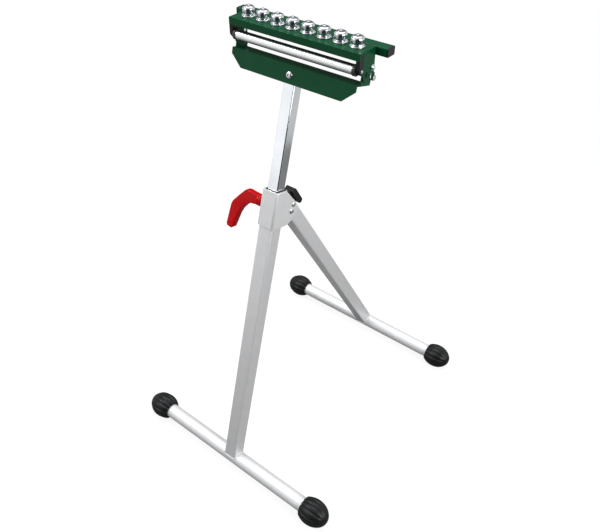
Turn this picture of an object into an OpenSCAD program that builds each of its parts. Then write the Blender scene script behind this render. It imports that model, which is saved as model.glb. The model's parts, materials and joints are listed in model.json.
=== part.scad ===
// Folding work support stand: a leaning square column on a round foot bar, a
// rear leg that folds against it, a clamped telescopic mast, and a tilting head
// that carries a steel roller, eight ball casters and a flat support rail.
// Origin: on the floor, midway between the two foot bars. +Z is up, the roller
// faces -Y and the head runs along X.

/* [Base] */
// Distance between the axes of the front and rear foot bars
bar_spacing = 540; // [500:5:580]
// Outer diameter of the foot bars
bar_d = 32; // [30:1:34]
// Length of a foot bar that shows between its end caps
bar_visible = 392; // [300:2:460]
// Largest diameter of an end cap
cap_d = 56; // [50:1:64]
// Length of an end cap beyond its rim
cap_len = 60; // [50:1:70]

/* [Column and leg] */
// Backward lean of the column and the mast from the vertical
lean = 15.3; // [14:0.1:17]
// Outside width of the square column tube
column_w = 30; // [30:1:32]
// Length of the column from the foot bar axis to its top
column_len = 643; // [620:1:660]
// Outside width of the rear leg tube, along X
leg_w = 28; // [26:1:28]
// Outside depth of the rear leg tube
leg_depth = 30; // [29:1:31]

/* [Mast] */
// Outside width of the square mast tube
mast_w = 22; // [20:1:23]
// Length of mast that stays inside the column in the modelled position
mast_inside = 213; // [200:1:260]

/* [Head] */
// Length of the head channel
head_len = 254; // [240:2:270]
// Depth of the head's top plate
head_depth = 41.5; // [40:0.5:44]
// Length of the flat support rail
rail_len = 292; // [280:2:320]
// Diameter of the roller
roller_d = 16; // [15:0.5:20]
// Distance between neighbouring ball casters
caster_pitch = 30; // [28:0.5:31]
// Diameter of a caster ball
ball_d = 12; // [11.5:0.1:12.2]

/* [Hidden] */
$fn = 48;
fit = 0.05;
gap = 0.3;
wall = 1.5;
sheet = 2;

// Finishes
GREEN = [0.09, 0.33, 0.21];
ZINC = [0.80, 0.82, 0.83];
CHROME = [0.88, 0.89, 0.90];
SILVER = [0.76, 0.77, 0.78];
BLACK = [0.08, 0.08, 0.09];
RED = [0.80, 0.06, 0.08];
NYLON = [0.92, 0.92, 0.88];
BRONZE = [0.72, 0.55, 0.30];

// Foot bars
bar_z = cap_d / 2;
cap_grip = 25;
cap_steps = 20;
bar_half = bar_visible / 2;

// Bracket round the top of the column, in column coordinates
bracket_wall = 2.5;
bracket_w = column_w + 2 * bracket_wall;
bracket_low = column_len - 68;
pivot_v = 34.5;
pivot_u = column_len - 43.3;
clamp_u = column_len - 31.6;
cheek_x = column_w / 2;

// Rear leg, in leg coordinates: origin at the pivot, Z up the leg, Y outward
leg_axis_n = 5.5;
pivot_y = pivot_u * sin(lean) + pivot_v * cos(lean);
pivot_z = pivot_u * cos(lean) - pivot_v * sin(lean);
leg_run = norm([bar_spacing - pivot_y, pivot_z]);
leg_angle = atan((bar_spacing - pivot_y) / pivot_z) - asin(leg_axis_n / leg_run);
leg_len = sqrt(leg_run * leg_run - leg_axis_n * leg_axis_n);
leg_top = 2;
leg_nose_r = 7.5;
pivot_r = 4;
sleeve_n = 10.8;
sleeve_a = 6.6;
sleeve_r = 4.5;
latch_bolt_r = 3;

// Mast and its clamp
bush_len = 20;
mast_low = column_len - mast_inside;
clamp_r = 4;

// Head, in head coordinates: origin at the tilt pivot
head_z = 868.5;
head_y = -35;
top_z = 38;
front_y = -22.5;
back_y = front_y + head_depth;
end_x = head_len / 2;
ear_x = end_x - sheet - gap;
ear_t = 2;
flange_z = 26.5;
roller_y = -16;
roller_z = 10.2;
axle_r = 2.5;
roller_half = end_x - 13;
roller_end_r = roller_d / 2 + 1;
rail_depth = 20;
rail_h = 13.5;
plate_front_y = -12;
tilt_pin_r = 3;
plate_bolt_y = 13.2;
plate_bolt_z = 7.6;
plate_bolt_r = 3;
finger_y = 19.5;
finger_z = -10.8;
finger_pin_r = 3;

// Base bracket, in column coordinates: apron flat on the mast's front, web on its top
apron_v = -mast_w / 2 - 0.05 - sheet;
apron_low_u = 827.7;
apron_corner_u = 847;
web_u = 857.3;
web_back_v = 24;
apron_top_w = 2 * (ear_x - 1);
apron_low_w = 203;
ear_front_v = -4;
ear_lobe_r = 9.5;
mast_top_u = web_u - sheet - 0.1;
tilt_v = (head_y + bar_spacing / 2) * cos(lean) - (head_z - bar_z) * sin(lean);
tilt_u = (head_y + bar_spacing / 2) * sin(lean) + (head_z - bar_z) * cos(lean);
head_bolt_u = 841.7;
head_bolt_r = 4;

// Ball casters, in caster coordinates: origin on the top plate
ball_r = ball_d / 2;
ball_z = 12;
caster_y = 2;
caster_count = 8;
flange_r = 12;
cup_r = 10;
liner_r = 8.7;
stud_r = 3;
stud_len = 11;

// ---------------------------------------------------------------- helpers

// Column coordinates: X across, Y towards the back, Z up the column
module on_column() {
    translate([0, -bar_spacing / 2, bar_z]) rotate([-lean, 0, 0]) children();
}

// Leg coordinates: origin at the leg's pivot, Y outward, Z up the leg
module on_leg() {
    translate([0, pivot_y - bar_spacing / 2, pivot_z + bar_z]) rotate([leg_angle, 0, 0]) children();
}

// Head coordinates: origin at the tilt pivot, square to the floor
module on_head() {
    translate([0, head_y, head_z]) children();
}

// Draws the children for the right side and, mirrored, for the left
module both_sides() {
    children();
    mirror([1, 0, 0]) children();
}

// Turns a 2D outline drawn in Y and Z into a plate that starts at x and is t thick
module side_plate(x, t) {
    translate([x, 0, 0]) rotate([90, 0, 90]) linear_extrude(t) children();
}

// Cylinder along X from x0 to x1
module rod_x(x0, x1, r) {
    translate([x0, 0, 0]) rotate([0, 90, 0]) cylinder(h = x1 - x0, r = r);
}

// Hexagonal prism along X from x0 to x1, af across the flats
module hex_x(x0, x1, af) {
    translate([x0, 0, 0]) rotate([0, 90, 0]) cylinder(h = x1 - x0, d = af / cos(30), $fn = 6);
}

// Rectangle centred on the origin with round corners
module round_rect(w, h, r) {
    square([w, h - 2 * r], center = true);
    square([w - 2 * r, h], center = true);
    for (x = [-1, 1], y = [-1, 1])
        translate([x * (w / 2 - r), y * (h / 2 - r)]) circle(r);
}

// Cross-section of a rectangular tube
module tube_section(w, h, t, r) {
    difference() {
        round_rect(w, h, r);
        round_rect(w - 2 * t, h - 2 * t, max(0.5, r - t));
    }
}

// Low domed head along X: flat face at x0, crown towards +X
module dome_x(x0, r, h) {
    steps = 6;
    crown = [for (i = [0 : steps]) let (a = 90 * i / steps) [r * cos(a), h * (0.25 + 0.75 * sin(a))]];
    translate([x0, 0, 0]) rotate([0, 90, 0]) rotate_extrude() polygon(concat([[0, 0], [r, 0]], crown));
}

// ---------------------------------------------------------------- foot bars

module foot_bar() {
    color(SILVER) difference() {
        rod_x(-bar_half - cap_grip, bar_half + cap_grip, bar_d / 2);
        rod_x(-bar_half - cap_grip - 1, bar_half + cap_grip + 1, bar_d / 2 - wall);
    }
}

// Radius of an end cap at the fraction s of its length
function cap_radius(s) = cap_d / 2 * sqrt(1 - pow((s - 0.42) / 0.6, 2));

// Egg-shaped end cap: rim at the origin, nose towards +X
module end_cap() {
    profile = [for (i = [0 : cap_steps]) [cap_radius(i / cap_steps), cap_len * i / cap_steps]];
    color(BLACK) rotate([0, 90, 0]) difference() {
        rotate_extrude() polygon(concat([[0, 0]], profile, [[0, cap_len]]));
        translate([0, 0, -1]) cylinder(h = cap_grip + 1, d = bar_d);
        translate([0, 0, -1]) cylinder(h = cap_len - 9, d = bar_d - 8);
    }
}

module front_bar() {
    translate([0, -bar_spacing / 2, bar_z]) foot_bar();
}

module front_cap_right() {
    translate([bar_half, -bar_spacing / 2, bar_z]) end_cap();
}

module front_cap_left() {
    mirror([1, 0, 0]) front_cap_right();
}

module rear_bar() {
    translate([0, bar_spacing / 2, bar_z]) foot_bar();
}

module rear_cap_right() {
    translate([bar_half, bar_spacing / 2, bar_z]) end_cap();
}

module rear_cap_left() {
    mirror([1, 0, 0]) rear_cap_right();
}

// ---------------------------------------------------------------- column

module column() {
    color(SILVER) on_column() difference() {
        linear_extrude(column_len) tube_section(column_w, column_w, wall, 3);
        rod_x(-column_w, column_w, bar_d / 2);
        translate([0, 0, clamp_u]) rod_x(-column_w, 0, clamp_r + gap);
    }
}

// Plastic guide in the mouth of the column
module column_bush() {
    bore = mast_w + 0.3;
    color(BLACK) on_column() translate([0, 0, column_len]) difference() {
        translate([0, 0, -bush_len]) linear_extrude(bush_len + 0.5)
            round_rect(column_w - 2 * wall, column_w - 2 * wall, wall);
        translate([0, 0, -bush_len - 1]) linear_extrude(bush_len + 2)
            round_rect(bore, bore, 2);
    }
}

// Side outline of the bracket in column coordinates
module bracket_outline() {
    polygon([
        [-bracket_w, bracket_low], [column_w / 2, bracket_low - 2.5], [27, bracket_low - 1.5],
        [40, bracket_low + 4], [50, bracket_low + 17], [52, bracket_low + 30],
        [44, bracket_low + 39.5], [12, bracket_low + 66.5], [9.5, column_len],
        [-bracket_w, column_len]]);
}

// Folded sheet bracket: wraps the column in front and stands back as two cheeks
module bracket() {
    color(SILVER) on_column() difference() {
        intersection() {
            side_plate(-bracket_w, 2 * bracket_w) bracket_outline();
            translate([0, 0, bracket_low - 5]) linear_extrude(column_len) difference() {
                union() {
                    round_rect(bracket_w, bracket_w, 4);
                    translate([-bracket_w / 2, 0]) square([bracket_w, 60]);
                }
                round_rect(column_w, column_w, 3);
                translate([-column_w / 2, 0]) square([column_w, 61]);
            }
        }
        translate([0, pivot_v, pivot_u]) rod_x(-bracket_w, bracket_w, pivot_r);
        translate([0, 0, clamp_u]) rod_x(-bracket_w, 0, clamp_r + gap);
        on_latch_axis() rod_x(-bracket_w, bracket_w, latch_bolt_r);
    }
}

// Axis of the latch bolt, in column coordinates
module on_latch_axis() {
    translate([0, pivot_v, pivot_u]) rotate([lean + leg_angle, 0, 0])
        translate([0, sleeve_n, sleeve_a]) children();
}

// ---------------------------------------------------------------- mast clamp

module clamp_boss() {
    color(SILVER) on_column() translate([-bracket_w / 2, 0, clamp_u]) difference() {
        rod_x(-5, 0, 8);
        rod_x(-6, 1, clamp_r + fit);
    }
}

module clamp_screw() {
    color(ZINC) on_column() translate([0, 0, clamp_u])
        rod_x(-bracket_w / 2 - 14, -mast_w / 2 - 2.6, clamp_r);
}

module pressure_pad() {
    color(NYLON) on_column() translate([0, 0, clamp_u]) difference() {
        rod_x(-mast_w / 2 - 2.4, -mast_w / 2 - 0.1, 6);
        rod_x(-mast_w / 2 - 5, -mast_w / 2 - 2, 2);
    }
}

// Outline of the clamp lever's arm: X outward from the bracket, Y along the column
module lever_outline() {
    polygon([
        [-24, 10], [-36, 10], [-58, 11.5], [-62, 10], [-88, -21], [-91, -28], [-97, -70],
        [-95, -75], [-84, -77], [-81, -74], [-78.5, -64], [-72, -41.5], [-66, -29],
        [-58, -19], [-48, -11.5], [-36, -9], [-24, -10]]);
}

module clamp_lever() {
    color(RED) on_column() translate([0, 0, clamp_u]) difference() {
        union() {
            rod_x(-36, -bracket_w / 2 - 5.5, 10);
            translate([0, 7, 0]) rotate([90, 0, 0]) linear_extrude(14) lever_outline();
        }
        rod_x(-bracket_w / 2 - 14, 0, clamp_r);
    }
}

// ---------------------------------------------------------------- rear leg

// Side outline of the leg tube with its cut and rounded top
module leg_outline() {
    translate([leg_axis_n - leg_depth / 2, -leg_len]) square([leg_depth, leg_len + leg_top]);
    circle(leg_nose_r);
}

module leg_tube() {
    color(SILVER) on_leg() difference() {
        intersection() {
            side_plate(-leg_w, 2 * leg_w) leg_outline();
            translate([0, leg_axis_n, -leg_len]) linear_extrude(leg_len + 20)
                tube_section(leg_w, leg_depth, wall, 3);
        }
        rod_x(-leg_w, leg_w, pivot_r + fit);
        translate([0, leg_axis_n, -leg_len]) rod_x(-leg_w, leg_w, bar_d / 2);
    }
}

module leg_pivot_bolt() {
    color(ZINC) on_leg() {
        rod_x(-bracket_w / 2 - 8, bracket_w / 2, pivot_r);
        dome_x(bracket_w / 2, 5.8, 2.6);
    }
}

module leg_pivot_nut() {
    color(ZINC) on_leg() difference() {
        hex_x(-bracket_w / 2 - 6.5, -bracket_w / 2, 11);
        rod_x(-bracket_w, 0, pivot_r);
    }
}

module leg_washers() {
    color(NYLON) on_leg() both_sides() difference() {
        rod_x(leg_w / 2 + fit, cheek_x, 7);
        rod_x(0, bracket_w, pivot_r);
    }
}

// ---------------------------------------------------------------- leg latch

// Origin on the latch bolt, in leg coordinates
module on_latch() {
    on_leg() translate([0, sleeve_n, sleeve_a]) children();
}

module latch_bolt() {
    color(ZINC) on_latch() {
        rod_x(-bracket_w / 2 - 6, bracket_w / 2, latch_bolt_r);
        dome_x(bracket_w / 2, 5.2, 2.4);
    }
}

module latch_nut() {
    color(ZINC) on_latch() difference() {
        hex_x(-bracket_w / 2 - 5, -bracket_w / 2, 10);
        rod_x(-bracket_w, 0, latch_bolt_r);
    }
}

module latch_sleeve() {
    color(ZINC) on_latch() difference() {
        rod_x(-cheek_x, cheek_x, sleeve_r);
        rod_x(-bracket_w, bracket_w, latch_bolt_r);
    }
}

// Side outline of the latch: hub, web, thumb paddle and detent tooth
module latch_web() {
    circle(7.5);
    polygon([[-2, 7], [13, 14], [17, 14], [17, -4], [10.5, -3.5], [6, -4]]);
}

module latch_paddle() {
    translate([15, -25]) square([11, 34]);
    translate([17.5, 7]) square([6, 5]);
    translate([18, 9]) circle(3);
    translate([23, 9]) circle(3);
    translate([20.5, -25]) circle(5.5);
}

module latch_tooth() {
    translate([10.1, -23]) square([6, 6]);
}

module leg_latch() {
    color(BLACK) on_latch() difference() {
        union() {
            side_plate(-5, 10) latch_web();
            side_plate(-10, 20) latch_paddle();
            side_plate(-4, 8) latch_tooth();
        }
        rod_x(-20, 20, sleeve_r + fit);
    }
}

// Torsion spring beside the latch hub: closed turns and two tails
module latch_spring() {
    wire = 1.3;
    turns = 4;
    pitch = 1.2;
    start_x = 6.4;
    coil_r = sleeve_r + 1.2;
    color(ZINC) on_latch() translate([start_x, 0, 0]) {
        rotate([0, 90, 0]) rotate_extrude()
            for (i = [0 : turns - 1]) translate([coil_r, pitch * i]) circle(wire / 2, $fn = 8);
        translate([pitch * (turns - 1), coil_r, 0]) cylinder(h = 11, r = wire / 2, $fn = 8);
        translate([0, -coil_r, -1]) cylinder(h = 11, r = wire / 2, $fn = 8);
    }
}

// ---------------------------------------------------------------- mast

module mast_tube() {
    color(CHROME) on_column() difference() {
        translate([0, 0, mast_low]) linear_extrude(mast_top_u - mast_low)
            tube_section(mast_w, mast_w, wall, 2);
        head_bolt_hole();
    }
}

module head_bolt_hole() {
    translate([0, 0, head_bolt_u]) rotate([90, 0, 0])
        cylinder(h = 4 * mast_w, r = head_bolt_r, center = true);
}

// Plastic glide on the mast's lower end
module mast_glide() {
    color(BLACK) on_column() translate([0, 0, mast_low]) {
        difference() {
            translate([0, 0, -8]) linear_extrude(8)
                round_rect(column_w - 2 * wall - 2 * gap, column_w - 2 * wall - 2 * gap, 2);
            translate([0, 0, -9]) cylinder(h = 20, r = 5);
        }
        difference() {
            linear_extrude(14) round_rect(mast_w - 2 * wall, mast_w - 2 * wall, 1);
            translate([0, 0, -9]) cylinder(h = 30, r = 5);
        }
    }
}

// ---------------------------------------------------------------- base bracket

// Front view of the apron
module apron_outline() {
    polygon([
        [-apron_top_w / 2, web_u], [apron_top_w / 2, web_u],
        [apron_top_w / 2, apron_corner_u], [apron_low_w / 2, apron_low_u],
        [-apron_low_w / 2, apron_low_u], [-apron_top_w / 2, apron_corner_u]]);
}

// Plan of the web, with its front corners cut back to the ears
module web_outline() {
    polygon([
        [-apron_top_w / 2, apron_v], [apron_top_w / 2, apron_v], [ear_x, ear_front_v],
        [ear_x, web_back_v], [-ear_x, web_back_v], [-ear_x, ear_front_v]]);
}

// Side view of an ear: foot on the web, lobe round the tilt pivot
module ear_outline() {
    foot_u = web_u - sheet;
    polygon([
        [ear_front_v, foot_u], [web_back_v - 3, foot_u], [web_back_v, foot_u + 3],
        [web_back_v, foot_u + 9], [tilt_v + ear_lobe_r, tilt_u], [tilt_v, tilt_u],
        [tilt_v - ear_lobe_r, tilt_u]]);
    translate([tilt_v, tilt_u]) circle(ear_lobe_r);
}

// Folded sheet that carries the head: apron, web and two ears
module base_bracket() {
    color(GREEN) difference() {
        on_column() union() {
            translate([0, apron_v + sheet, 0]) rotate([90, 0, 0]) linear_extrude(sheet) apron_outline();
            translate([0, 0, web_u - sheet]) linear_extrude(sheet) web_outline();
            both_sides() side_plate(ear_x - ear_t, ear_t) ear_outline();
        }
        on_head() rod_x(-head_len, head_len, tilt_pin_r);
        on_column() head_bolt_hole();
    }
}

// Column coordinates turned so that X points out of the apron at the head bolt
module on_head_bolt() {
    on_column() translate([0, apron_v, head_bolt_u]) rotate([0, 0, -90]) children();
}

module head_bolt() {
    color(ZINC) on_head_bolt() difference() {
        union() {
            rod_x(-mast_w - 10, 0, head_bolt_r);
            dome_x(0, 6, 3.6);
        }
        hex_x(1.6, 5, 4.5);
    }
}

module head_bolt_nut() {
    inner = mast_w + sheet + 0.05;
    color(ZINC) on_head_bolt() difference() {
        hex_x(-inner - 6, -inner, 13);
        rod_x(-60, 0, head_bolt_r);
    }
}

module tilt_pivot_pins() {
    color(BLACK) on_head() both_sides() difference() {
        union() {
            rod_x(ear_x - ear_t - 2, ear_x - ear_t, 4.5);
            rod_x(ear_x - ear_t, end_x + 0.1, tilt_pin_r);
            rod_x(end_x + 0.1, end_x + 1.5, 4.2);
        }
        hex_x(end_x + 0.7, end_x + 3, 3.5);
    }
}

// ---------------------------------------------------------------- head

// Side view of an end plate: body, pivot lobe and the finger that carries a pin
module end_plate_outline() {
    difference() {
        union() {
            translate([plate_front_y, 0]) square([back_y - plate_front_y, top_z]);
            circle(11);
            translate([14.8, finger_z]) square([back_y - 14.8 + 3, 8]);
            translate([14.8, -4]) square([back_y - 14.8, 8]);
            translate([finger_y, finger_z]) circle(4.6);
        }
        circle(tilt_pin_r + fit);
        translate([plate_bolt_y, plate_bolt_z]) circle(plate_bolt_r);
        translate([finger_y, finger_z]) circle(finger_pin_r);
    }
}

// Folded sheet: top plate, front flange and two end plates
module head_channel() {
    color(GREEN) on_head() difference() {
        union() {
            translate([-end_x, front_y, top_z - sheet]) cube([head_len, head_depth, sheet]);
            translate([-end_x, front_y, flange_z]) cube([head_len, sheet, top_z - flange_z]);
            both_sides() side_plate(end_x - sheet, sheet) end_plate_outline();
        }
        each_caster() translate([0, 0, -5]) cylinder(h = 10, r = stud_r);
    }
}

// Side view of a roller block: stands in front of the end plate, under the top plate
module roller_block_outline() {
    low_z = 3.5;
    bulge_y = front_y + 0.1;
    back = plate_front_y - 0.1;
    polygon([
        [front_y + sheet + 0.1, top_z - sheet - 0.1], [back, top_z - sheet - 0.1], [back, low_z],
        [roller_y - 0.2, low_z], [bulge_y + 0.6, 9.5], [bulge_y, 12.6],
        [bulge_y, flange_z - 0.1], [front_y + sheet + 0.1, flange_z - 0.1]]);
}

// Plastic blocks at the ends of the roller that hold its axle
module roller_blocks() {
    inner_x = roller_half + 6;
    color(BLACK) on_head() both_sides() difference() {
        side_plate(inner_x, end_x - 0.1 - inner_x) roller_block_outline();
        translate([0, roller_y, roller_z]) rod_x(0, head_len, axle_r);
    }
}

module end_plate_bolts() {
    color(ZINC) on_head() both_sides() translate([0, plate_bolt_y, plate_bolt_z]) {
        rod_x(end_x - sheet, end_x, plate_bolt_r);
        rod_x(end_x, end_x + 1, 5);
        dome_x(end_x + 1, 4.4, 2.8);
    }
}

module finger_pins() {
    color(ZINC) on_head() both_sides() translate([0, finger_y, finger_z]) {
        rod_x(end_x - sheet, end_x, finger_pin_r);
        rod_x(end_x, end_x + 2, 4.2);
    }
}

module support_rail() {
    color(GREEN) on_head() translate([-rail_len / 2, back_y + rail_depth / 2, top_z - rail_h / 2])
        rotate([90, 0, 90]) linear_extrude(rail_len) tube_section(rail_depth, rail_h, wall, 2);
}

module rail_plug_right() {
    color(BLACK) on_head() translate([rail_len / 2, back_y + rail_depth / 2, top_z - rail_h / 2])
        rotate([90, 0, 90]) {
            linear_extrude(2) round_rect(rail_depth, rail_h, 2);
            translate([0, 0, -10]) linear_extrude(10)
                round_rect(rail_depth - 2 * wall, rail_h - 2 * wall, 0.5);
        }
}

module rail_plug_left() {
    mirror([1, 0, 0]) rail_plug_right();
}

// ---------------------------------------------------------------- roller

// Roller axis, in head coordinates
module on_roller() {
    on_head() translate([0, roller_y, roller_z]) children();
}

module roller_axle() {
    color(ZINC) on_roller() rod_x(-end_x - 1, end_x + 1, axle_r);
}

module roller_tube() {
    color(CHROME) on_roller() difference() {
        rod_x(-roller_half, roller_half, roller_d / 2);
        rod_x(-roller_half - 1, roller_half + 1, roller_d / 2 - wall);
    }
}

module roller_end_right() {
    color(BLACK) on_roller() difference() {
        union() {
            rod_x(roller_half, roller_half + 5.5, roller_end_r);
            rod_x(roller_half - 12, roller_half, roller_d / 2 - wall);
        }
        rod_x(roller_half - 13, roller_half + 6, axle_r + 0.4);
        rod_x(roller_half - 13, roller_half - 6, 5.5);
    }
}

module roller_end_left() {
    mirror([1, 0, 0]) roller_end_right();
}

module roller_bearings() {
    color(BRONZE) on_roller() both_sides() difference() {
        rod_x(roller_half - 11, roller_half - 6, 5.5);
        rod_x(0, head_len, axle_r + fit);
    }
}

// ---------------------------------------------------------------- ball casters

// X of caster i, counted from the left
function caster_x(i) = (i - (caster_count + 1) / 2) * caster_pitch;

// Caster coordinates of caster i, in head coordinates
module at_caster(i) {
    translate([caster_x(i), caster_y, top_z]) children();
}

module each_caster() {
    for (i = [1 : caster_count]) at_caster(i) children();
}

// Pressed cup with a flange, a domed rim and a threaded stud
module caster_cup(i) {
    dome_steps = 6;
    dome = [for (k = [0 : dome_steps]) let (a = 90 * k / dome_steps)
        [5 + 5.5 * cos(a), 10 + 5.5 * sin(a)]];
    color(CHROME) on_head() at_caster(i) difference() {
        union() {
            rotate_extrude() polygon(concat(
                [[0, 0], [flange_r, 0], [flange_r, 1], [flange_r - 0.6, 1.6], [cup_r, 1.8]],
                dome, [[0, 15.5]]));
            translate([0, 0, -stud_len]) cylinder(h = stud_len + 1, r = stud_r);
        }
        translate([0, 0, ball_z]) sphere(ball_r + fit);
        translate([0, 0, 1.6]) cylinder(h = ball_z - 1.6, r = liner_r);
    }
}

module caster_liners() {
    color(NYLON) on_head() each_caster() difference() {
        translate([0, 0, 1.6]) cylinder(h = ball_z - 1.6, r = liner_r);
        translate([0, 0, ball_z]) sphere(ball_r + fit);
    }
}

module caster_nuts() {
    color(ZINC) on_head() each_caster() translate([0, 0, -sheet - 5]) difference() {
        cylinder(h = 5, d = 10 / cos(30), $fn = 6);
        translate([0, 0, -1]) cylinder(h = 7, r = stud_r);
    }
}

module ball(i) {
    color(CHROME) on_head() at_caster(i) translate([0, 0, ball_z]) sphere(ball_r);
}

// ---------------------------------------------------------------- nodes

front_bar();
front_cap_left();
front_cap_right();
column();
column_bush();
bracket();
clamp_boss();
pressure_pad();
leg_pivot_bolt();
leg_pivot_nut();
leg_washers();
latch_bolt();
latch_nut();
latch_sleeve();
latch_spring();
clamp_lever();
clamp_screw();
leg_tube();
rear_bar();
rear_cap_left();
rear_cap_right();
leg_latch();
mast_tube();
mast_glide();
base_bracket();
head_bolt();
head_bolt_nut();
tilt_pivot_pins();
head_channel();
end_plate_bolts();
finger_pins();
roller_blocks();
support_rail();
rail_plug_left();
rail_plug_right();
roller_axle();
roller_tube();
roller_end_left();
roller_end_right();
roller_bearings();
for (i = [1 : caster_count]) {
    caster_cup(i);
    ball(i);
}
caster_liners();
caster_nuts();
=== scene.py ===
"""Looks of the folding roller support stand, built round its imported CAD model.

Shapes are worked out in mm and turned into metres by MM. The frames of the column, the
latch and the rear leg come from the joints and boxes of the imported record.
"""

import json
import math

import bpy
import bmesh
from mathutils import Matrix, Vector


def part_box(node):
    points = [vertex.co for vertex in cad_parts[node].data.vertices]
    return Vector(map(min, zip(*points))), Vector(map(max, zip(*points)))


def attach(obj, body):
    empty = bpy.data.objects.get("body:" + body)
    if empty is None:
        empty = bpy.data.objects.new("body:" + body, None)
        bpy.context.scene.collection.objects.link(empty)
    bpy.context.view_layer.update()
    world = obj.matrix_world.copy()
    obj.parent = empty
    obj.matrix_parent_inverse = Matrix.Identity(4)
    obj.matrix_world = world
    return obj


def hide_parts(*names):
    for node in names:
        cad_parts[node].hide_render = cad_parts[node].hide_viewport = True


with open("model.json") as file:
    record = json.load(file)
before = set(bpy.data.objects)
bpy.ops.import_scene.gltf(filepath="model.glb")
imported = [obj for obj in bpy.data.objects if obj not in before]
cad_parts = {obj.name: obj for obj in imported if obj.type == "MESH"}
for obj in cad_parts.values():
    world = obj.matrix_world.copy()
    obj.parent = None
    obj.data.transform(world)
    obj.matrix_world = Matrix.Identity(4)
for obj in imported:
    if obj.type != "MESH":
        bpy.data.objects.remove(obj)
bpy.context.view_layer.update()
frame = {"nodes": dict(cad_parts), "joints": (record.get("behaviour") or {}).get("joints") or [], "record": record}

NODES = frame["nodes"]
JOINTS = {j["name"]: j for j in frame["joints"]}
MM = 0.001
PI2 = 2 * math.pi


# ------------------------------------------------------------ frames

def joint_origin(name):
    return Vector(JOINTS[name]["pos_m"])


def turned_x(origin, degrees):
    return Matrix.Translation(origin) @ Matrix.Rotation(math.radians(degrees), 4, "X")


SLIDE = Vector(JOINTS["mast_slide"]["axis"])
LEAN = math.degrees(math.atan2(SLIDE.y, SLIDE.z))
FRONT_LO, FRONT_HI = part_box("front_bar")
REAR_LO, REAR_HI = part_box("rear_bar")
FRONT_AXIS = Vector((0, (FRONT_LO.y + FRONT_HI.y) / 2, (FRONT_LO.z + FRONT_HI.z) / 2))
REAR_AXIS = Vector((0, (REAR_LO.y + REAR_HI.y) / 2, (REAR_LO.z + REAR_HI.z) / 2))
BAR_R = (FRONT_HI.z - FRONT_LO.z) / 2
PIVOT = joint_origin("leg_fold")
LATCH = joint_origin("latch_lift")
LEG_AXIS_OFFSET = 5.5 * MM  # from the pivot bolt to the rear leg's centre line
LEG_RUN = Vector((0, REAR_AXIS.y - PIVOT.y, PIVOT.z - REAR_AXIS.z))
LEG_LEAN = math.degrees(math.atan2(LEG_RUN.y, LEG_RUN.z)
                        - math.asin(LEG_AXIS_OFFSET / LEG_RUN.length))

ON_COLUMN = turned_x(FRONT_AXIS, -LEAN)
ON_LATCH = turned_x(LATCH, LEG_LEAN)
ON_LEG_FOOT = turned_x(REAR_AXIS, LEG_LEAN)
ALONG_X = Matrix.Rotation(math.radians(90), 4, "Y")


def moved(matrix, x, y, z):
    """matrix moved by x, y, z mm in its own axes."""
    return matrix @ Matrix.Translation(Vector((x, y, z)) * MM)


# ------------------------------------------------------------ node helpers

class Nodes:
    """A small wrapper that adds and links the nodes of one material."""

    def __init__(self, name):
        self.mat = bpy.data.materials.new(name)
        self.mat.use_nodes = True
        self.tree = self.mat.node_tree
        self.tree.nodes.clear()
        self.out = self.tree.nodes.new("ShaderNodeOutputMaterial")
        self.shader = self.tree.nodes.new("ShaderNodeBsdfPrincipled")
        self.tree.links.new(self.shader.outputs[0], self.out.inputs[0])

    def add(self, kind, **settings):
        node = self.tree.nodes.new(kind)
        for key, value in settings.items():
            setattr(node, key, value)
        return node

    def link(self, a, b):
        self.tree.links.new(a, b)

    def set(self, **values):
        """Sets the shader's own sockets. An underscore stands for a space in their names."""
        for key, value in values.items():
            self.shader.inputs[key.replace("_", " ")].default_value = value

    def coords(self, tilt=0.0, scale=(1, 1, 1)):
        """Object coordinates, turned by tilt degrees about X and stretched by scale."""
        source = self.add("ShaderNodeTexCoord")
        turn = self.add("ShaderNodeMapping")
        turn.inputs["Rotation"].default_value = (math.radians(tilt), 0, 0)
        stretch = self.add("ShaderNodeMapping")
        stretch.inputs["Scale"].default_value = scale
        self.link(source.outputs["Object"], turn.inputs["Vector"])
        self.link(turn.outputs[0], stretch.inputs["Vector"])
        return stretch.outputs[0]

    def noise(self, vector, scale, detail=3.0, rough=0.5, distortion=0.0):
        node = self.add("ShaderNodeTexNoise")
        node.inputs["Scale"].default_value = scale
        node.inputs["Detail"].default_value = detail
        node.inputs["Roughness"].default_value = rough
        node.inputs["Distortion"].default_value = distortion
        self.link(vector, node.inputs["Vector"])
        return node.outputs["Fac"]

    def remap(self, value, low, high, new_low, new_high):
        node = self.add("ShaderNodeMapRange")
        for index, number in ((1, low), (2, high), (3, new_low), (4, new_high)):
            node.inputs[index].default_value = number
        self.link(value, node.inputs[0])
        return node.outputs[0]

    def mix(self, factor, a, b):
        node = self.add("ShaderNodeMix", data_type="RGBA")
        self.link(factor, node.inputs[0])
        for index, colour in ((6, a), (7, b)):
            if isinstance(colour, tuple):
                node.inputs[index].default_value = (*colour, 1)
            else:
                self.link(colour, node.inputs[index])
        return node.outputs[2]

    def math(self, operation, a, b):
        node = self.add("ShaderNodeMath", operation=operation)
        for index, value in ((0, a), (1, b)):
            if isinstance(value, (int, float)):
                node.inputs[index].default_value = value
            else:
                self.link(value, node.inputs[index])
        return node.outputs[0]

    def bump(self, height, distance_mm, strength=1.0):
        node = self.add("ShaderNodeBump")
        node.inputs["Strength"].default_value = strength
        node.inputs["Distance"].default_value = distance_mm * MM
        self.link(height, node.inputs["Height"])
        previous = self.shader.inputs["Normal"].links
        if previous:
            self.link(previous[0].from_socket, node.inputs["Normal"])
        self.link(node.outputs[0], self.shader.inputs["Normal"])

    def colour(self, socket):
        self.link(socket, self.shader.inputs["Base Color"])

    def roughness(self, socket):
        self.link(socket, self.shader.inputs["Roughness"])


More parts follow.
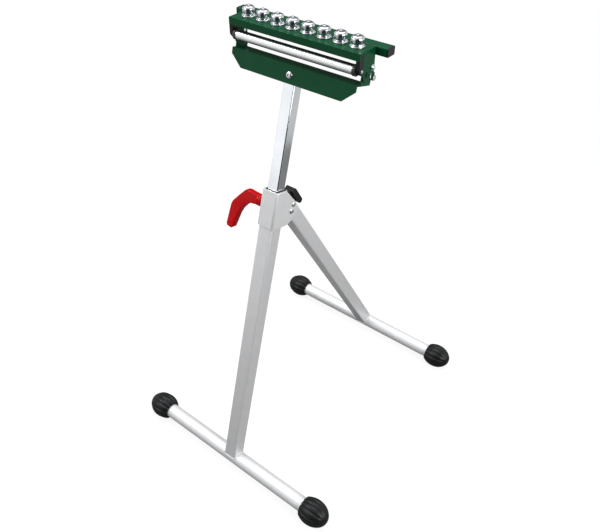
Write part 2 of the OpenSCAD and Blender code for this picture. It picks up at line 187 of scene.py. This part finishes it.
def metal(name, base, dark, rough, grain_mm, grain=None, tilt=0.0, metallic=1.0, speckle=0.0):
    """Metal finish: cloudy tone, uneven gloss and a fine bump of grain_mm. grain stretches
    the bump along one axis, and speckle adds the flakes of a metallic paint."""
    m = Nodes(name)
    m.set(Metallic=metallic)
    place = m.coords()
    clouds = m.noise(place, 38, 4, 0.6)
    fine = m.noise(place, 1400, 2, 0.6)
    tone = m.remap(clouds, 0.3, 0.7, 0.0, 1.0)
    paint = m.mix(tone, base, dark)
    if speckle:
        flakes = m.remap(fine, 0.42, 0.62, 0.0, speckle)
        paint = m.mix(flakes, paint, tuple(min(1.0, c * 1.25) for c in base))
    m.colour(paint)
    if grain:
        lines = m.noise(m.coords(tilt, grain), 1.0, 3, 0.65)
        uneven = m.math("ADD", m.math("MULTIPLY", clouds, 0.35), m.math("MULTIPLY", lines, 0.65))
        m.bump(lines, grain_mm)
    else:
        uneven = m.math("ADD", m.math("MULTIPLY", clouds, 0.6), m.math("MULTIPLY", fine, 0.4))
        m.bump(fine, grain_mm)
    m.roughness(m.remap(uneven, 0.25, 0.75, rough * 0.82, rough * 1.2))
    return m.mat


def paint_green():
    """Dark green powder coat: faint clouds, orange peel and fine grit."""
    m = Nodes("green_paint_finish")
    m.set(Coat_Weight=0.14, Coat_Roughness=0.12, Specular_IOR_Level=0.05)
    place = m.coords()
    clouds = m.noise(place, 26, 4, 0.55)
    peel = m.noise(place, 520, 2, 0.4)
    grit = m.noise(place, 2600, 2, 0.5)
    paint = m.mix(m.remap(clouds, 0.3, 0.7, 0, 1), (0.0012, 0.052, 0.0185), (0.0020, 0.062, 0.0230))
    dust = m.remap(grit, 0.66, 0.78, 0.0, 0.20)
    m.colour(m.mix(dust, paint, (0.030, 0.120, 0.065)))
    m.roughness(m.remap(clouds, 0.25, 0.75, 0.34, 0.44))
    m.bump(peel, 0.05, 0.6)
    m.bump(grit, 0.012, 0.5)
    return m.mat


def plastic(name, base, light, rough, grain_scale, grain_mm, specks=0.0, **settings):
    """Moulded plastic or rubber: slight flow marks and a fine spark-eroded grain."""
    m = Nodes(name)
    m.set(**settings)
    place = m.coords()
    flow = m.noise(place, 45, 3, 0.5, 0.6)
    grain = m.noise(place, grain_scale, 3, 0.6)
    tone = m.mix(m.remap(flow, 0.3, 0.7, 0, 1), base, light)
    if specks:
        tone = m.mix(m.remap(grain, 0.62, 0.74, 0, specks), tone, tuple(c * 3 for c in light))
    m.colour(tone)
    m.roughness(m.remap(flow, 0.25, 0.75, rough * 0.88, rough * 1.12))
    m.bump(grain, grain_mm, 0.7)
    return m.mat


def turned_steel(name, base, dark, rough):
    """Ground or turned steel: fine rings across the X axis."""
    m = Nodes(name)
    m.set(Metallic=1.0)
    rings = m.noise(m.coords(0, (2600, 6, 6)), 1.0, 2, 0.6)
    clouds = m.noise(m.coords(), 60, 3, 0.5)
    m.colour(m.mix(m.remap(clouds, 0.3, 0.7, 0, 1), base, dark))
    m.roughness(m.remap(rings, 0.3, 0.7, rough * 0.8, rough * 1.25))
    m.bump(rings, 0.006, 0.5)
    return m.mat


MATERIALS = {
    "bar_silver": metal("bar_silver_finish", (0.74, 0.75, 0.76), (0.69, 0.70, 0.71), 0.46,
                        grain_mm=0.02, metallic=0.35, speckle=0.25),
    "tube_silver": metal("tube_silver_finish", (0.74, 0.745, 0.75), (0.69, 0.695, 0.70), 0.42,
                         grain_mm=0.025, metallic=0.45, speckle=0.3),
    "bracket_silver": metal("bracket_silver_finish", (0.74, 0.745, 0.75), (0.69, 0.695, 0.70),
                            0.46, grain_mm=0.03, metallic=0.35, speckle=0.3),
    "mast_bright": metal("mast_bright_finish", (0.84, 0.86, 0.88), (0.76, 0.79, 0.82), 0.12,
                         grain_mm=0.006, grain=(900, 900, 9), tilt=LEAN),
    "cap_rubber": plastic("cap_rubber_finish", (0.0045, 0.0050, 0.0055), (0.0075, 0.0085, 0.0090),
                          0.34, 1500, 0.03, 0.15, Specular_IOR_Level=0.26),
    "black_plastic": plastic("black_plastic_finish", (0.005, 0.005, 0.006), (0.009, 0.009, 0.010),
                             0.36, 1900, 0.04, 0.1, Specular_IOR_Level=0.2),
    "latch_plastic": plastic("latch_plastic_finish", (0.005, 0.005, 0.006), (0.009, 0.009, 0.010),
                             0.32, 1900, 0.04, 0.15, Specular_IOR_Level=0.3),
    "red_plastic": plastic("red_plastic_finish", (0.56, 0.001, 0.003), (0.49, 0.001, 0.002),
                           0.30, 1700, 0.015, Coat_Weight=0.16, Coat_Roughness=0.10,
                           Specular_IOR_Level=0.04),
    "nylon": plastic("nylon_finish", (0.80, 0.80, 0.74), (0.74, 0.74, 0.68), 0.42, 1600, 0.03,
                     Subsurface_Weight=0.15, Subsurface_Scale=0.002),
    "zinc": metal("zinc_finish", (0.72, 0.735, 0.75), (0.60, 0.62, 0.65), 0.24, grain_mm=0.02),
    "green_paint": paint_green(),
    "roller_steel": turned_steel("roller_steel_finish", (0.82, 0.82, 0.83), (0.76, 0.765, 0.775),
                                 0.20),
    "roller_plastic": plastic("roller_plastic_finish", (0.012, 0.012, 0.014),
                              (0.020, 0.020, 0.023), 0.40, 1800, 0.04, 0.2),
    "bronze": metal("bronze_finish", (0.62, 0.42, 0.20), (0.50, 0.33, 0.15), 0.38, grain_mm=0.03),
    "caster_chrome": metal("caster_chrome_finish", (0.60, 0.62, 0.64), (0.52, 0.55, 0.58), 0.19,
                           grain_mm=0.004),
    # The balls' steel gets a dark base colour, darker than polished steel: a painted dark reflection.
    "ball_steel": metal("ball_steel_dark_reflection_finish", (0.26, 0.27, 0.29), (0.18, 0.19, 0.21), 0.09,
                        grain_mm=0.003),
}


# ------------------------------------------------------------ mesh helpers

def finish_mesh(name, bm, body, slot, nodes, smooth):
    """Turns a bmesh, already in place, into a piece that rides on body and replaces nodes.
    Edges sharper than smooth degrees stay sharp."""
    bmesh.ops.remove_doubles(bm, verts=bm.verts, dist=1e-6)
    bmesh.ops.dissolve_degenerate(bm, edges=bm.edges, dist=1e-7)
    bmesh.ops.recalc_face_normals(bm, faces=bm.faces)
    mesh = bpy.data.meshes.new(name)
    bm.to_mesh(mesh)
    bm.free()
    mesh.shade_smooth()
    mesh.set_sharp_from_angle(angle=math.radians(smooth))
    mesh.materials.append(MATERIALS[slot])
    piece = bpy.data.objects.new(name, mesh)
    bpy.context.scene.collection.objects.link(piece)
    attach(piece, body)
    if nodes:
        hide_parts(*nodes)


LEAST_R = 1e-4  # mm, stands for radius 0 at the tip of a lathe


def add_loops(bm, loops, closed_path=False):
    """Skins a list of equal loops of points. The ends are faces, or joined if closed_path."""
    rows = [[bm.verts.new(p) for p in loop] for loop in loops]
    count = len(rows[0])
    pairs = list(zip(rows, rows[1:])) + ([(rows[-1], rows[0])] if closed_path else [])
    for a, b in pairs:
        for i in range(count):
            j = (i + 1) % count
            bm.faces.new((a[i], a[j], b[j], b[i]))
    if not closed_path:
        bm.faces.new(rows[0][::-1])
        bm.faces.new(rows[-1])


def add_lathe(bm, matrix, profile, segments, shape=None):
    """Revolves (radius, height) mm points round Z of matrix. shape(angle, radius, height) may
    return another radius. Both ends are closed."""
    loops = []
    for radius, height in profile:
        ring = []
        for i in range(segments):
            angle = PI2 * i / segments
            r = shape(angle, radius, height) if shape else radius
            r = max(r, LEAST_R)
            ring.append(matrix @ (Vector((r * math.cos(angle), r * math.sin(angle), height)) * MM))
        loops.append(ring)
    add_loops(bm, loops)


def arc(cx, cy, radius, start, end, steps):
    """Points on a circle, from start to end degrees."""
    out = []
    for i in range(steps + 1):
        a = math.radians(start + (end - start) * i / steps)
        out.append((cx + radius * math.cos(a), cy + radius * math.sin(a)))
    return out


def rounded(points, steps):
    """Closed outline from (x, y, radius) corners, each corner turned into an arc."""
    out = []
    count = len(points)
    for i, (x, y, radius) in enumerate(points):
        p = Vector((x, y))
        a = Vector(points[i - 1][:2]) - p
        b = Vector(points[(i + 1) % count][:2]) - p
        half = a.angle(b) / 2
        reach = min(radius / math.tan(half), a.length * 0.49, b.length * 0.49)
        radius = reach * math.tan(half)
        centre = p + (a.normalized() + b.normalized()).normalized() * (radius / math.sin(half))
        start = p + a.normalized() * reach - centre
        end = p + b.normalized() * reach - centre
        turn = math.atan2(start.x * end.y - start.y * end.x, start.dot(end))
        base = math.atan2(start.y, start.x)
        for k in range(steps + 1):
            angle = base + turn * k / steps
            out.append((centre.x + radius * math.cos(angle), centre.y + radius * math.sin(angle)))
    return out


def add_plate(bm, matrix, outline, thickness, edge, resolution):
    """Adds a flat plate in XY of matrix, thickness mm along Z from 0, its edges rounded."""
    curve = bpy.data.curves.new("plate", "CURVE")
    curve.dimensions = "2D"
    curve.fill_mode = "BOTH"
    curve.extrude = (thickness / 2 - edge) * MM
    curve.bevel_depth = edge * MM
    curve.bevel_resolution = resolution
    curve.offset = -edge * MM
    spline = curve.splines.new("POLY")
    spline.points.add(len(outline) - 1)
    for point, (x, y) in zip(spline.points, outline):
        point.co = (x * MM, y * MM, 0, 1)
    spline.use_cyclic_u = True
    holder = bpy.data.objects.new("plate", curve)
    bpy.context.scene.collection.objects.link(holder)
    depsgraph = bpy.context.evaluated_depsgraph_get()
    mesh = bpy.data.meshes.new_from_object(holder.evaluated_get(depsgraph))
    bpy.data.objects.remove(holder)
    bpy.data.curves.remove(curve)
    mesh.transform(Matrix.Translation((0, 0, thickness / 2 * MM)))
    mesh.transform(matrix)
    bm.from_mesh(mesh)
    bpy.data.meshes.remove(mesh)


def add_tube(bm, path, radius, sides, closed=False, bump=None):
    """Round bar along a path of points. bump(i, angle) scales its radius at point i."""
    count = len(path)
    loops = []
    side = None
    for i, p in enumerate(path):
        before = path[i - 1] if (i or closed) else path[0]
        after = path[(i + 1) % count] if (i < count - 1 or closed) else path[-1]
        along = (after - before).normalized()
        if side is None:
            side = along.orthogonal().normalized()
        side = (side - along * side.dot(along)).normalized()
        up = along.cross(side)
        ring = []
        for k in range(sides):
            a = PI2 * k / sides
            r = radius * (bump(i, a) if bump else 1.0)
            ring.append(p + side * (r * math.cos(a)) + up * (r * math.sin(a)))
        loops.append(ring)
    add_loops(bm, loops, closed_path=closed)


FLAT_ANGLE = 0.6    # degrees below which neighbouring faces are merged
BEVEL_ANGLE = 35.0  # degrees above which an edge is rounded


def soften(name, width_mm, segments):
    """Rounds the sharp edges of a CAD node with modifiers."""
    piece = NODES[name]
    weld = piece.modifiers.new("weld", "WELD")
    weld.merge_threshold = 2e-6
    flat = piece.modifiers.new("flat", "DECIMATE")
    flat.decimate_type = "DISSOLVE"
    flat.angle_limit = math.radians(FLAT_ANGLE)
    bevel = piece.modifiers.new("bevel", "BEVEL")
    bevel.width = width_mm * MM
    bevel.segments = segments
    bevel.limit_method = "ANGLE"
    bevel.angle_limit = math.radians(BEVEL_ANGLE)
    bevel.harden_normals = True
    bevel.use_clamp_overlap = True


# ------------------------------------------------------------ camera, light, floor

CAMERA_PLACE = (0.57915, -0.79545, 1.2490)
CAMERA_RIGHT = (0.7946, 0.6071, 0.0064)
CAMERA_AHEAD = (-0.4569, 0.6049, -0.6522)
CAMERA_LENS, CAMERA_SENSOR = 36.86, 36.0  # mm

# Brightness of the studio from straight down, at 0, to straight up, at 1
SKY_STOPS = ((0.0, 0.40), (0.36, 0.58), (0.46, 1.0), (0.60, 0.85), (0.80, 0.55), (1.0, 0.75))
SKY_STRENGTH = 1.15
# Dark flags: direction, cosine at the outer edge, cosine at the full dark, brightness there
SKY_FLAGS = (((0.74, -0.66, -0.14), 0.42, 0.72, 0.03),
             ((-0.59, 0.80, -0.18), 0.76, 0.90, 0.04))

# Softboxes: name, place, size, watts, the point that it faces
SOFTBOXES = (
    ("right_softbox", (2.3, -0.2, 1.5), (1.6, 1.6), 42, (0, 0, 0.55)),
    ("overhead_softbox", (-0.4, 0.6, 2.6), (1.8, 1.4), 30, (0, 0, 0.6)),
    ("front_left_softbox", (-1.6, -1.5, 2.4), (1.1, 0.30), 27, (0, -0.1, 0.7)),
)

FLOOR_R = 1.25
FLOOR_GREY = 0.16  # what the floor reflects
FLOOR_GLOW = 0.86  # added for the camera only, so that the floor looks white


def build_camera():
    camera = bpy.data.cameras.new("camera")
    camera.lens = CAMERA_LENS
    camera.sensor_width = CAMERA_SENSOR
    camera.clip_start, camera.clip_end = 0.05, 50
    holder = bpy.data.objects.new("camera", camera)
    right = Vector(CAMERA_RIGHT).normalized()
    ahead = Vector(CAMERA_AHEAD).normalized()
    right = (right - ahead * right.dot(ahead)).normalized()
    up = right.cross(ahead)
    turn = Matrix((right, up, -ahead)).transposed().to_4x4()
    holder.matrix_world = Matrix.Translation(CAMERA_PLACE) @ turn
    bpy.context.scene.collection.objects.link(holder)
    bpy.context.scene.camera = holder
    bpy.context.scene.view_settings.view_transform = "Standard"


def build_sky():
    """Grey studio that lights the object, with two dark flags, and white for the camera."""
    world = bpy.data.worlds.new("studio")
    bpy.context.scene.world = world
    world.use_nodes = True
    tree = world.node_tree
    tree.nodes.clear()
    out = tree.nodes.new("ShaderNodeOutputWorld")
    place = tree.nodes.new("ShaderNodeTexCoord")
    split = tree.nodes.new("ShaderNodeSeparateXYZ")
    tree.links.new(place.outputs["Generated"], split.inputs[0])
    height = tree.nodes.new("ShaderNodeMapRange")
    height.inputs[1].default_value, height.inputs[2].default_value = -1.0, 1.0
    tree.links.new(split.outputs[2], height.inputs[0])
    ramp = tree.nodes.new("ShaderNodeValToRGB")
    while len(ramp.color_ramp.elements) < len(SKY_STOPS):
        ramp.color_ramp.elements.new(0.5)
    for element, (position, value) in zip(ramp.color_ramp.elements, SKY_STOPS):
        element.position = position
        element.color = (value, value, value * 1.01, 1)
    tree.links.new(height.outputs[0], ramp.inputs[0])
    strength = None
    for direction, edge, core, dark in SKY_FLAGS:
        flag = tree.nodes.new("ShaderNodeVectorMath")
        flag.operation = "DOT_PRODUCT"
        flag.inputs[1].default_value = Vector(direction).normalized()
        tree.links.new(place.outputs["Generated"], flag.inputs[0])
        dim = tree.nodes.new("ShaderNodeMapRange")
        for index, value in ((1, edge), (2, core), (3, 1.0), (4, dark)):
            dim.inputs[index].default_value = value
        tree.links.new(flag.outputs["Value"], dim.inputs[0])
        both = tree.nodes.new("ShaderNodeMath")
        both.operation = "MULTIPLY"
        tree.links.new(dim.outputs[0], both.inputs[0])
        if strength is None:
            both.inputs[1].default_value = SKY_STRENGTH
        else:
            tree.links.new(strength, both.inputs[1])
        strength = both.outputs[0]
    soft = tree.nodes.new("ShaderNodeBackground")
    tree.links.new(strength, soft.inputs[1])
    tree.links.new(ramp.outputs[0], soft.inputs[0])
    white = tree.nodes.new("ShaderNodeBackground")
    white.inputs[0].default_value = (1, 1, 1, 1)
    mix_for_camera(tree, soft.outputs[0], white.outputs[0], out)


def mix_for_camera(tree, others, camera, out):
    """Sends one shader to out for camera rays, and another for all other rays."""
    ray = tree.nodes.new("ShaderNodeLightPath")
    mix = tree.nodes.new("ShaderNodeMixShader")
    tree.links.new(ray.outputs["Is Camera Ray"], mix.inputs[0])
    tree.links.new(others, mix.inputs[1])
    tree.links.new(camera, mix.inputs[2])
    tree.links.new(mix.outputs[0], out.inputs[0])


def build_softboxes():
    for name, place, size, watts, target in SOFTBOXES:
        data = bpy.data.lights.new(name, "AREA")
        data.shape = "RECTANGLE"
        data.size, data.size_y = size
        data.energy = watts
        lamp = bpy.data.objects.new(name, data)
        lamp.location = place
        look = (Vector(target) - Vector(place)).normalized()
        lamp.rotation_mode = "QUATERNION"
        lamp.rotation_quaternion = look.to_track_quat("-Z", "Y")
        lamp.visible_camera = False
        bpy.context.scene.collection.objects.link(lamp)


def build_floor():
    bm = bmesh.new()
    bmesh.ops.create_circle(bm, cap_ends=True, segments=128, radius=FLOOR_R)
    mesh = bpy.data.meshes.new("floor")
    bm.to_mesh(mesh)
    bm.free()
    floor = bpy.data.objects.new("floor", mesh)
    bpy.context.scene.collection.objects.link(floor)
    material = bpy.data.materials.new("floor_finish")
    material.use_nodes = True
    tree = material.node_tree
    tree.nodes.clear()
    out = tree.nodes.new("ShaderNodeOutputMaterial")
    matt = tree.nodes.new("ShaderNodeBsdfDiffuse")
    matt.inputs[0].default_value = (FLOOR_GREY, FLOOR_GREY, FLOOR_GREY, 1)
    glow = tree.nodes.new("ShaderNodeEmission")
    glow.inputs[1].default_value = FLOOR_GLOW
    add = tree.nodes.new("ShaderNodeAddShader")
    tree.links.new(glow.outputs[0], add.inputs[0])
    tree.links.new(matt.outputs[0], add.inputs[1])
    mix_for_camera(tree, matt.outputs[0], add.outputs[0], out)
    mesh.materials.append(material)


# ------------------------------------------------------------ CAD nodes that stay

# CAD node, width of its rounded edges in mm, segments across them
SOFT_EDGES = (
    ("column", 0.4, 2), ("leg_tube", 0.4, 2), ("mast_tube", 0.3, 2), ("bracket", 0.9, 3),
    ("clamp_boss", 0.6, 2), ("leg_latch", 1.1, 3), ("base_bracket", 0.95, 4),
    ("head_channel", 0.95, 4), ("roller_blocks", 0.5, 2), ("support_rail", 0.3, 2),
    ("rail_plug_left", 0.5, 2), ("rail_plug_right", 0.5, 2), ("head_bolt", 0.25, 2),
    ("head_bolt_nut", 0.4, 2), ("leg_pivot_nut", 0.4, 2), ("latch_nut", 0.4, 2),
    ("tilt_pivot_pins", 0.3, 2), ("end_plate_bolts", 0.3, 2), ("finger_pins", 0.4, 2),
    ("roller_end_left", 0.5, 2), ("roller_end_right", 0.5, 2), ("column_bush", 0.3, 2),
    ("caster_nuts", 0.3, 2), ("clamp_screw", 0.4, 2), ("roller_axle", 0.4, 2),
)


def dress_cad_nodes():
    """Gives every CAD node its slot's finish, and rounds the edges of those that need it."""
    for entry in frame["record"]["subparts"]:
        mesh = NODES[entry["node"]].data
        mesh.materials.clear()
        mesh.materials.append(MATERIALS[entry["material_slot"]])
    for name, width, segments in SOFT_EDGES:
        soften(name, width, segments)


# ------------------------------------------------------------ foot caps

CAP_LEN, CAP_R, CAP_RIBS = 60.0, 28.0, 12
CAP_WIDEST, CAP_HALF = 0.42, 0.6  # of the length: where it is widest, and the oval's half axis
SOCKET_R, SOCKET_DEPTH = 16.05, 9.0


def cap_radius(s):
    """Radius of the oval body at the fraction s of its length from the rim."""
    return CAP_R * math.sqrt(max(0.0, 1 - ((s - CAP_WIDEST) / CAP_HALF) ** 2))


def cap_shape(angle, radius, height):
    """Cuts narrow flutes that fade out towards the nose. The socket stays round."""
    s = height / CAP_LEN
    if radius < 17 and s < 0.2:
        return radius
    phase = (angle / PI2 * CAP_RIBS) % 1.0
    away = min(phase, 1 - phase)
    groove = math.exp(-((away / 0.13) ** 2))
    crown = 0.35 * math.cos(PI2 * phase)
    fade = min(1.0, max(0.0, (0.93 - s) / 0.22)) * min(1.0, (s + 0.10) / 0.12)
    return radius - fade * (1.55 * groove + crown) * min(1.0, radius / 16)


def build_caps():
    for axis, body, end in ((FRONT_AXIS, "base_frame", "front"), (REAR_AXIS, "rear_leg", "rear")):
        for side, word in ((1, "right"), (-1, "left")):
            node = f"{end}_cap_{word}"
            lo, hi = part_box(node)
            rim = lo.x if side > 0 else hi.x
            turn = Matrix.Rotation(math.radians(90 * side), 4, "Y")
            matrix = Matrix.Translation((rim, axis.y, axis.z)) @ turn
            profile = [(SOCKET_R, SOCKET_DEPTH), (SOCKET_R, 1.0), (16.6, 0.2)]
            rim_r = cap_radius(0)
            profile += [(rim_r - 1.4, 0.0), (rim_r - 0.4, 0.35)]
            steps = 44
            for i in range(1, steps):
                s = 0.5 - 0.5 * math.cos(math.pi * i / steps)
                if s * CAP_LEN > 0.8:
                    profile.append((cap_radius(s), s * CAP_LEN))
            profile.append((cap_radius(1.0) * 0.55, CAP_LEN - 0.15))
            profile.append((0, CAP_LEN))
            bm = bmesh.new()
            add_lathe(bm, matrix, profile, 192, cap_shape)
            finish_mesh(f"{node}_rubber", bm, body, "cap_rubber", (node,), smooth=45)


# ------------------------------------------------------------ weld beads

WELD_R, WELD_STEP, WELD_PROUD = 1.5, 1.1, 0.3  # bead, spacing of its points, height over the bar
TUBE_CORNER = 3  # radius of the bead's path round a tube's corner


def bead_path(matrix, half_x, half_y):
    """Where a square tube along Z of matrix meets the foot bar whose axis is X at its origin."""
    outline = rounded([(half_x, half_y, TUBE_CORNER), (-half_x, half_y, TUBE_CORNER),
                       (-half_x, -half_y, TUBE_CORNER), (half_x, -half_y, TUBE_CORNER)], 6)
    points = []
    count = len(outline)
    for i, (x, y) in enumerate(outline):
        nx, ny = outline[(i + 1) % count]
        parts = max(1, round(math.hypot(nx - x, ny - y) / WELD_STEP))
        for k in range(parts):
            px, py = x + (nx - x) * k / parts, y + (ny - y) * k / parts
            drop = math.sqrt(max(0.0, (BAR_R / MM) ** 2 - py * py))
            points.append(matrix @ (Vector((px, py, drop + WELD_PROUD)) * MM))
    return points


def build_welds():
    def ripple(i, angle):
        return 1.0 + 0.13 * math.sin(i * 2.1) + 0.06 * math.sin(i * 0.7 + angle * 2)

    for name, matrix, half_x, half_y, body in (
            ("column_weld", ON_COLUMN, 15, 15, "base_frame"),
            ("leg_weld", ON_LEG_FOOT, 14, 15, "rear_leg")):
        bm = bmesh.new()
        add_tube(bm, bead_path(matrix, half_x, half_y), WELD_R * MM, 8, True, ripple)
        finish_mesh(name, bm, body, "bracket_silver", (), smooth=60)


# ------------------------------------------------------------ clamp lever

# Side outline of the lever: mm along X from the column's axis, mm above the clamp's axis
LEVER_OUTLINE = (
    (-24, 9.4), (-37, 9.4), (-57, 11.0), (-62, 9.6), (-75, -5), (-88, -21), (-91, -28),
    (-94, -50), (-96.6, -70), (-95, -74.6), (-84.5, -76.6), (-81.2, -74), (-78.5, -64),
    (-72, -41.5), (-66, -29), (-58, -19), (-48, -11.5), (-36, -9.4), (-24, -9.4))
LEVER_TIP = range(8, 12)      # corners of the outline at the tip
LEVER_SHOULDERS = (3, 6)      # softer corners on the back
LEVER_THICK, LEVER_EDGE = 14, 1.7
CLAMP_HEIGHT = 611.4  # of the clamp's axis, up the column from the foot bar's axis
HUB_X = -36
# (radius, distance along the axis) of the round hub, with a groove round its middle
HUB_PROFILE = ((0, 0), (6.5, 0), (8.6, 0.5), (9.6, 1.6), (10, 3.0), (10, 6.2), (9.3, 6.6),
               (9.3, 7.6), (10, 8.0), (10, 12.6), (9.5, 13.4), (4.2, 13.5), (4.2, 9), (0, 9))
RIB_COUNT, RIB_R, RIB_Y = 4, 0.7, -6.9


def lever_corner(i):
    """Radius of corner i of the outline."""
    if i in LEVER_TIP:
        return 2.0
    return 4.0 if i in LEVER_SHOULDERS else 1.2


def build_lever():
    """Flat curved grip, its round hub and the small grip ribs across the front of its tip."""
    axis = moved(ON_COLUMN, 0, 0, CLAMP_HEIGHT)
    corners = [(x, y, lever_corner(i)) for i, (x, y) in enumerate(LEVER_OUTLINE)]
    face = moved(axis, 0, LEVER_THICK / 2, 0) @ Matrix.Rotation(math.pi / 2, 4, "X")
    bm = bmesh.new()
    add_plate(bm, face, rounded(corners, 4), LEVER_THICK, LEVER_EDGE, 3)
    add_lathe(bm, moved(axis, HUB_X, 0, 0) @ ALONG_X, HUB_PROFILE, 64)
    for i in range(RIB_COUNT):
        z = -58.5 - 4.0 * i
        inner, outer = -77.4 - 0.55 * i, -94.6 - 0.42 * i
        path = [axis @ (Vector((inner + (outer - inner) * k / 8, RIB_Y, z - 0.25 * k)) * MM)
                for k in range(1, 8)]
        add_tube(bm, path, RIB_R * MM, 8)
    finish_mesh("clamp_lever_grip", bm, "lever", "red_plastic", ("clamp_lever",), smooth=40)


# ------------------------------------------------------------ latch spring

SPRING_WIRE_R, SPRING_R, SPRING_TURNS, SPRING_PITCH, SPRING_X = 0.65, 5.7, 4, 1.4, 5.9


def build_spring():
    """Torsion spring round the latch's bolt: a straight end, then its turns along X."""
    steps = 28
    points = [Vector((SPRING_X, -SPRING_R, i * 1.3)) for i in range(8, 0, -1)]
    for i in range(SPRING_TURNS * steps + 1):
        a = -math.pi / 2 - PI2 * i / steps
        points.append(Vector((SPRING_X + SPRING_PITCH * i / steps,
                              SPRING_R * math.sin(a), SPRING_R * math.cos(a))))
    bm = bmesh.new()
    add_tube(bm, [ON_LATCH @ (p * MM) for p in points], SPRING_WIRE_R * MM, 10)
    finish_mesh("latch_spring_wire", bm, "base_frame", "zinc", ("latch_spring",), smooth=60)


# ------------------------------------------------------------ casters

CASTER_COUNT = 8
CUP_HEIGHT = 15.5  # from the plate that the caster stands on to the cup's rim
# (radius, height over the plate) of the turned cup, from its bed inside, over the rim, down
# the body with its groove to the flange, and along the stud
CUP_PROFILE = (
    [(0, 1.7), (8.6, 1.7), (8.6, 11.5), (6.3, 14.2), (5.25, 15.2), (5.3, 15.45), (5.7, 15.5)]
    + arc(5.7, 10.7, 4.8, 84, 6, 12)
    + [(10.5, 9.4), (10.3, 5.4), (9.9, 5.0), (9.7, 4.6), (9.9, 4.2), (10.2, 3.8), (10.2, 2.4),
       (10.5, 1.95), (10.9, 1.8), (11.4, 1.7), (11.75, 1.5), (11.95, 1.15), (12, 0.8), (12, 0.3),
       (11.85, 0.02), (3.4, 0.0), (3.0, -0.4), (3.0, -10.4), (2.5, -11), (0, -11)])


def build_casters():
    for i in range(1, CASTER_COUNT + 1):
        node = f"caster_cup_{i}"
        cup_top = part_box(node)[1].z
        ball_lo, ball_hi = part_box(f"ball_{i}")
        centre = (ball_lo + ball_hi) / 2
        matrix = Matrix.Translation((centre.x, centre.y, cup_top - CUP_HEIGHT * MM))
        bm = bmesh.new()
        add_lathe(bm, matrix, CUP_PROFILE, 72)
        finish_mesh(f"{node}_turned", bm, "head", "caster_chrome", (node,), smooth=40)


build_camera()
build_sky()
build_softboxes()
build_floor()
dress_cad_nodes()
build_caps()
build_welds()
build_lever()
build_spring()
build_casters()
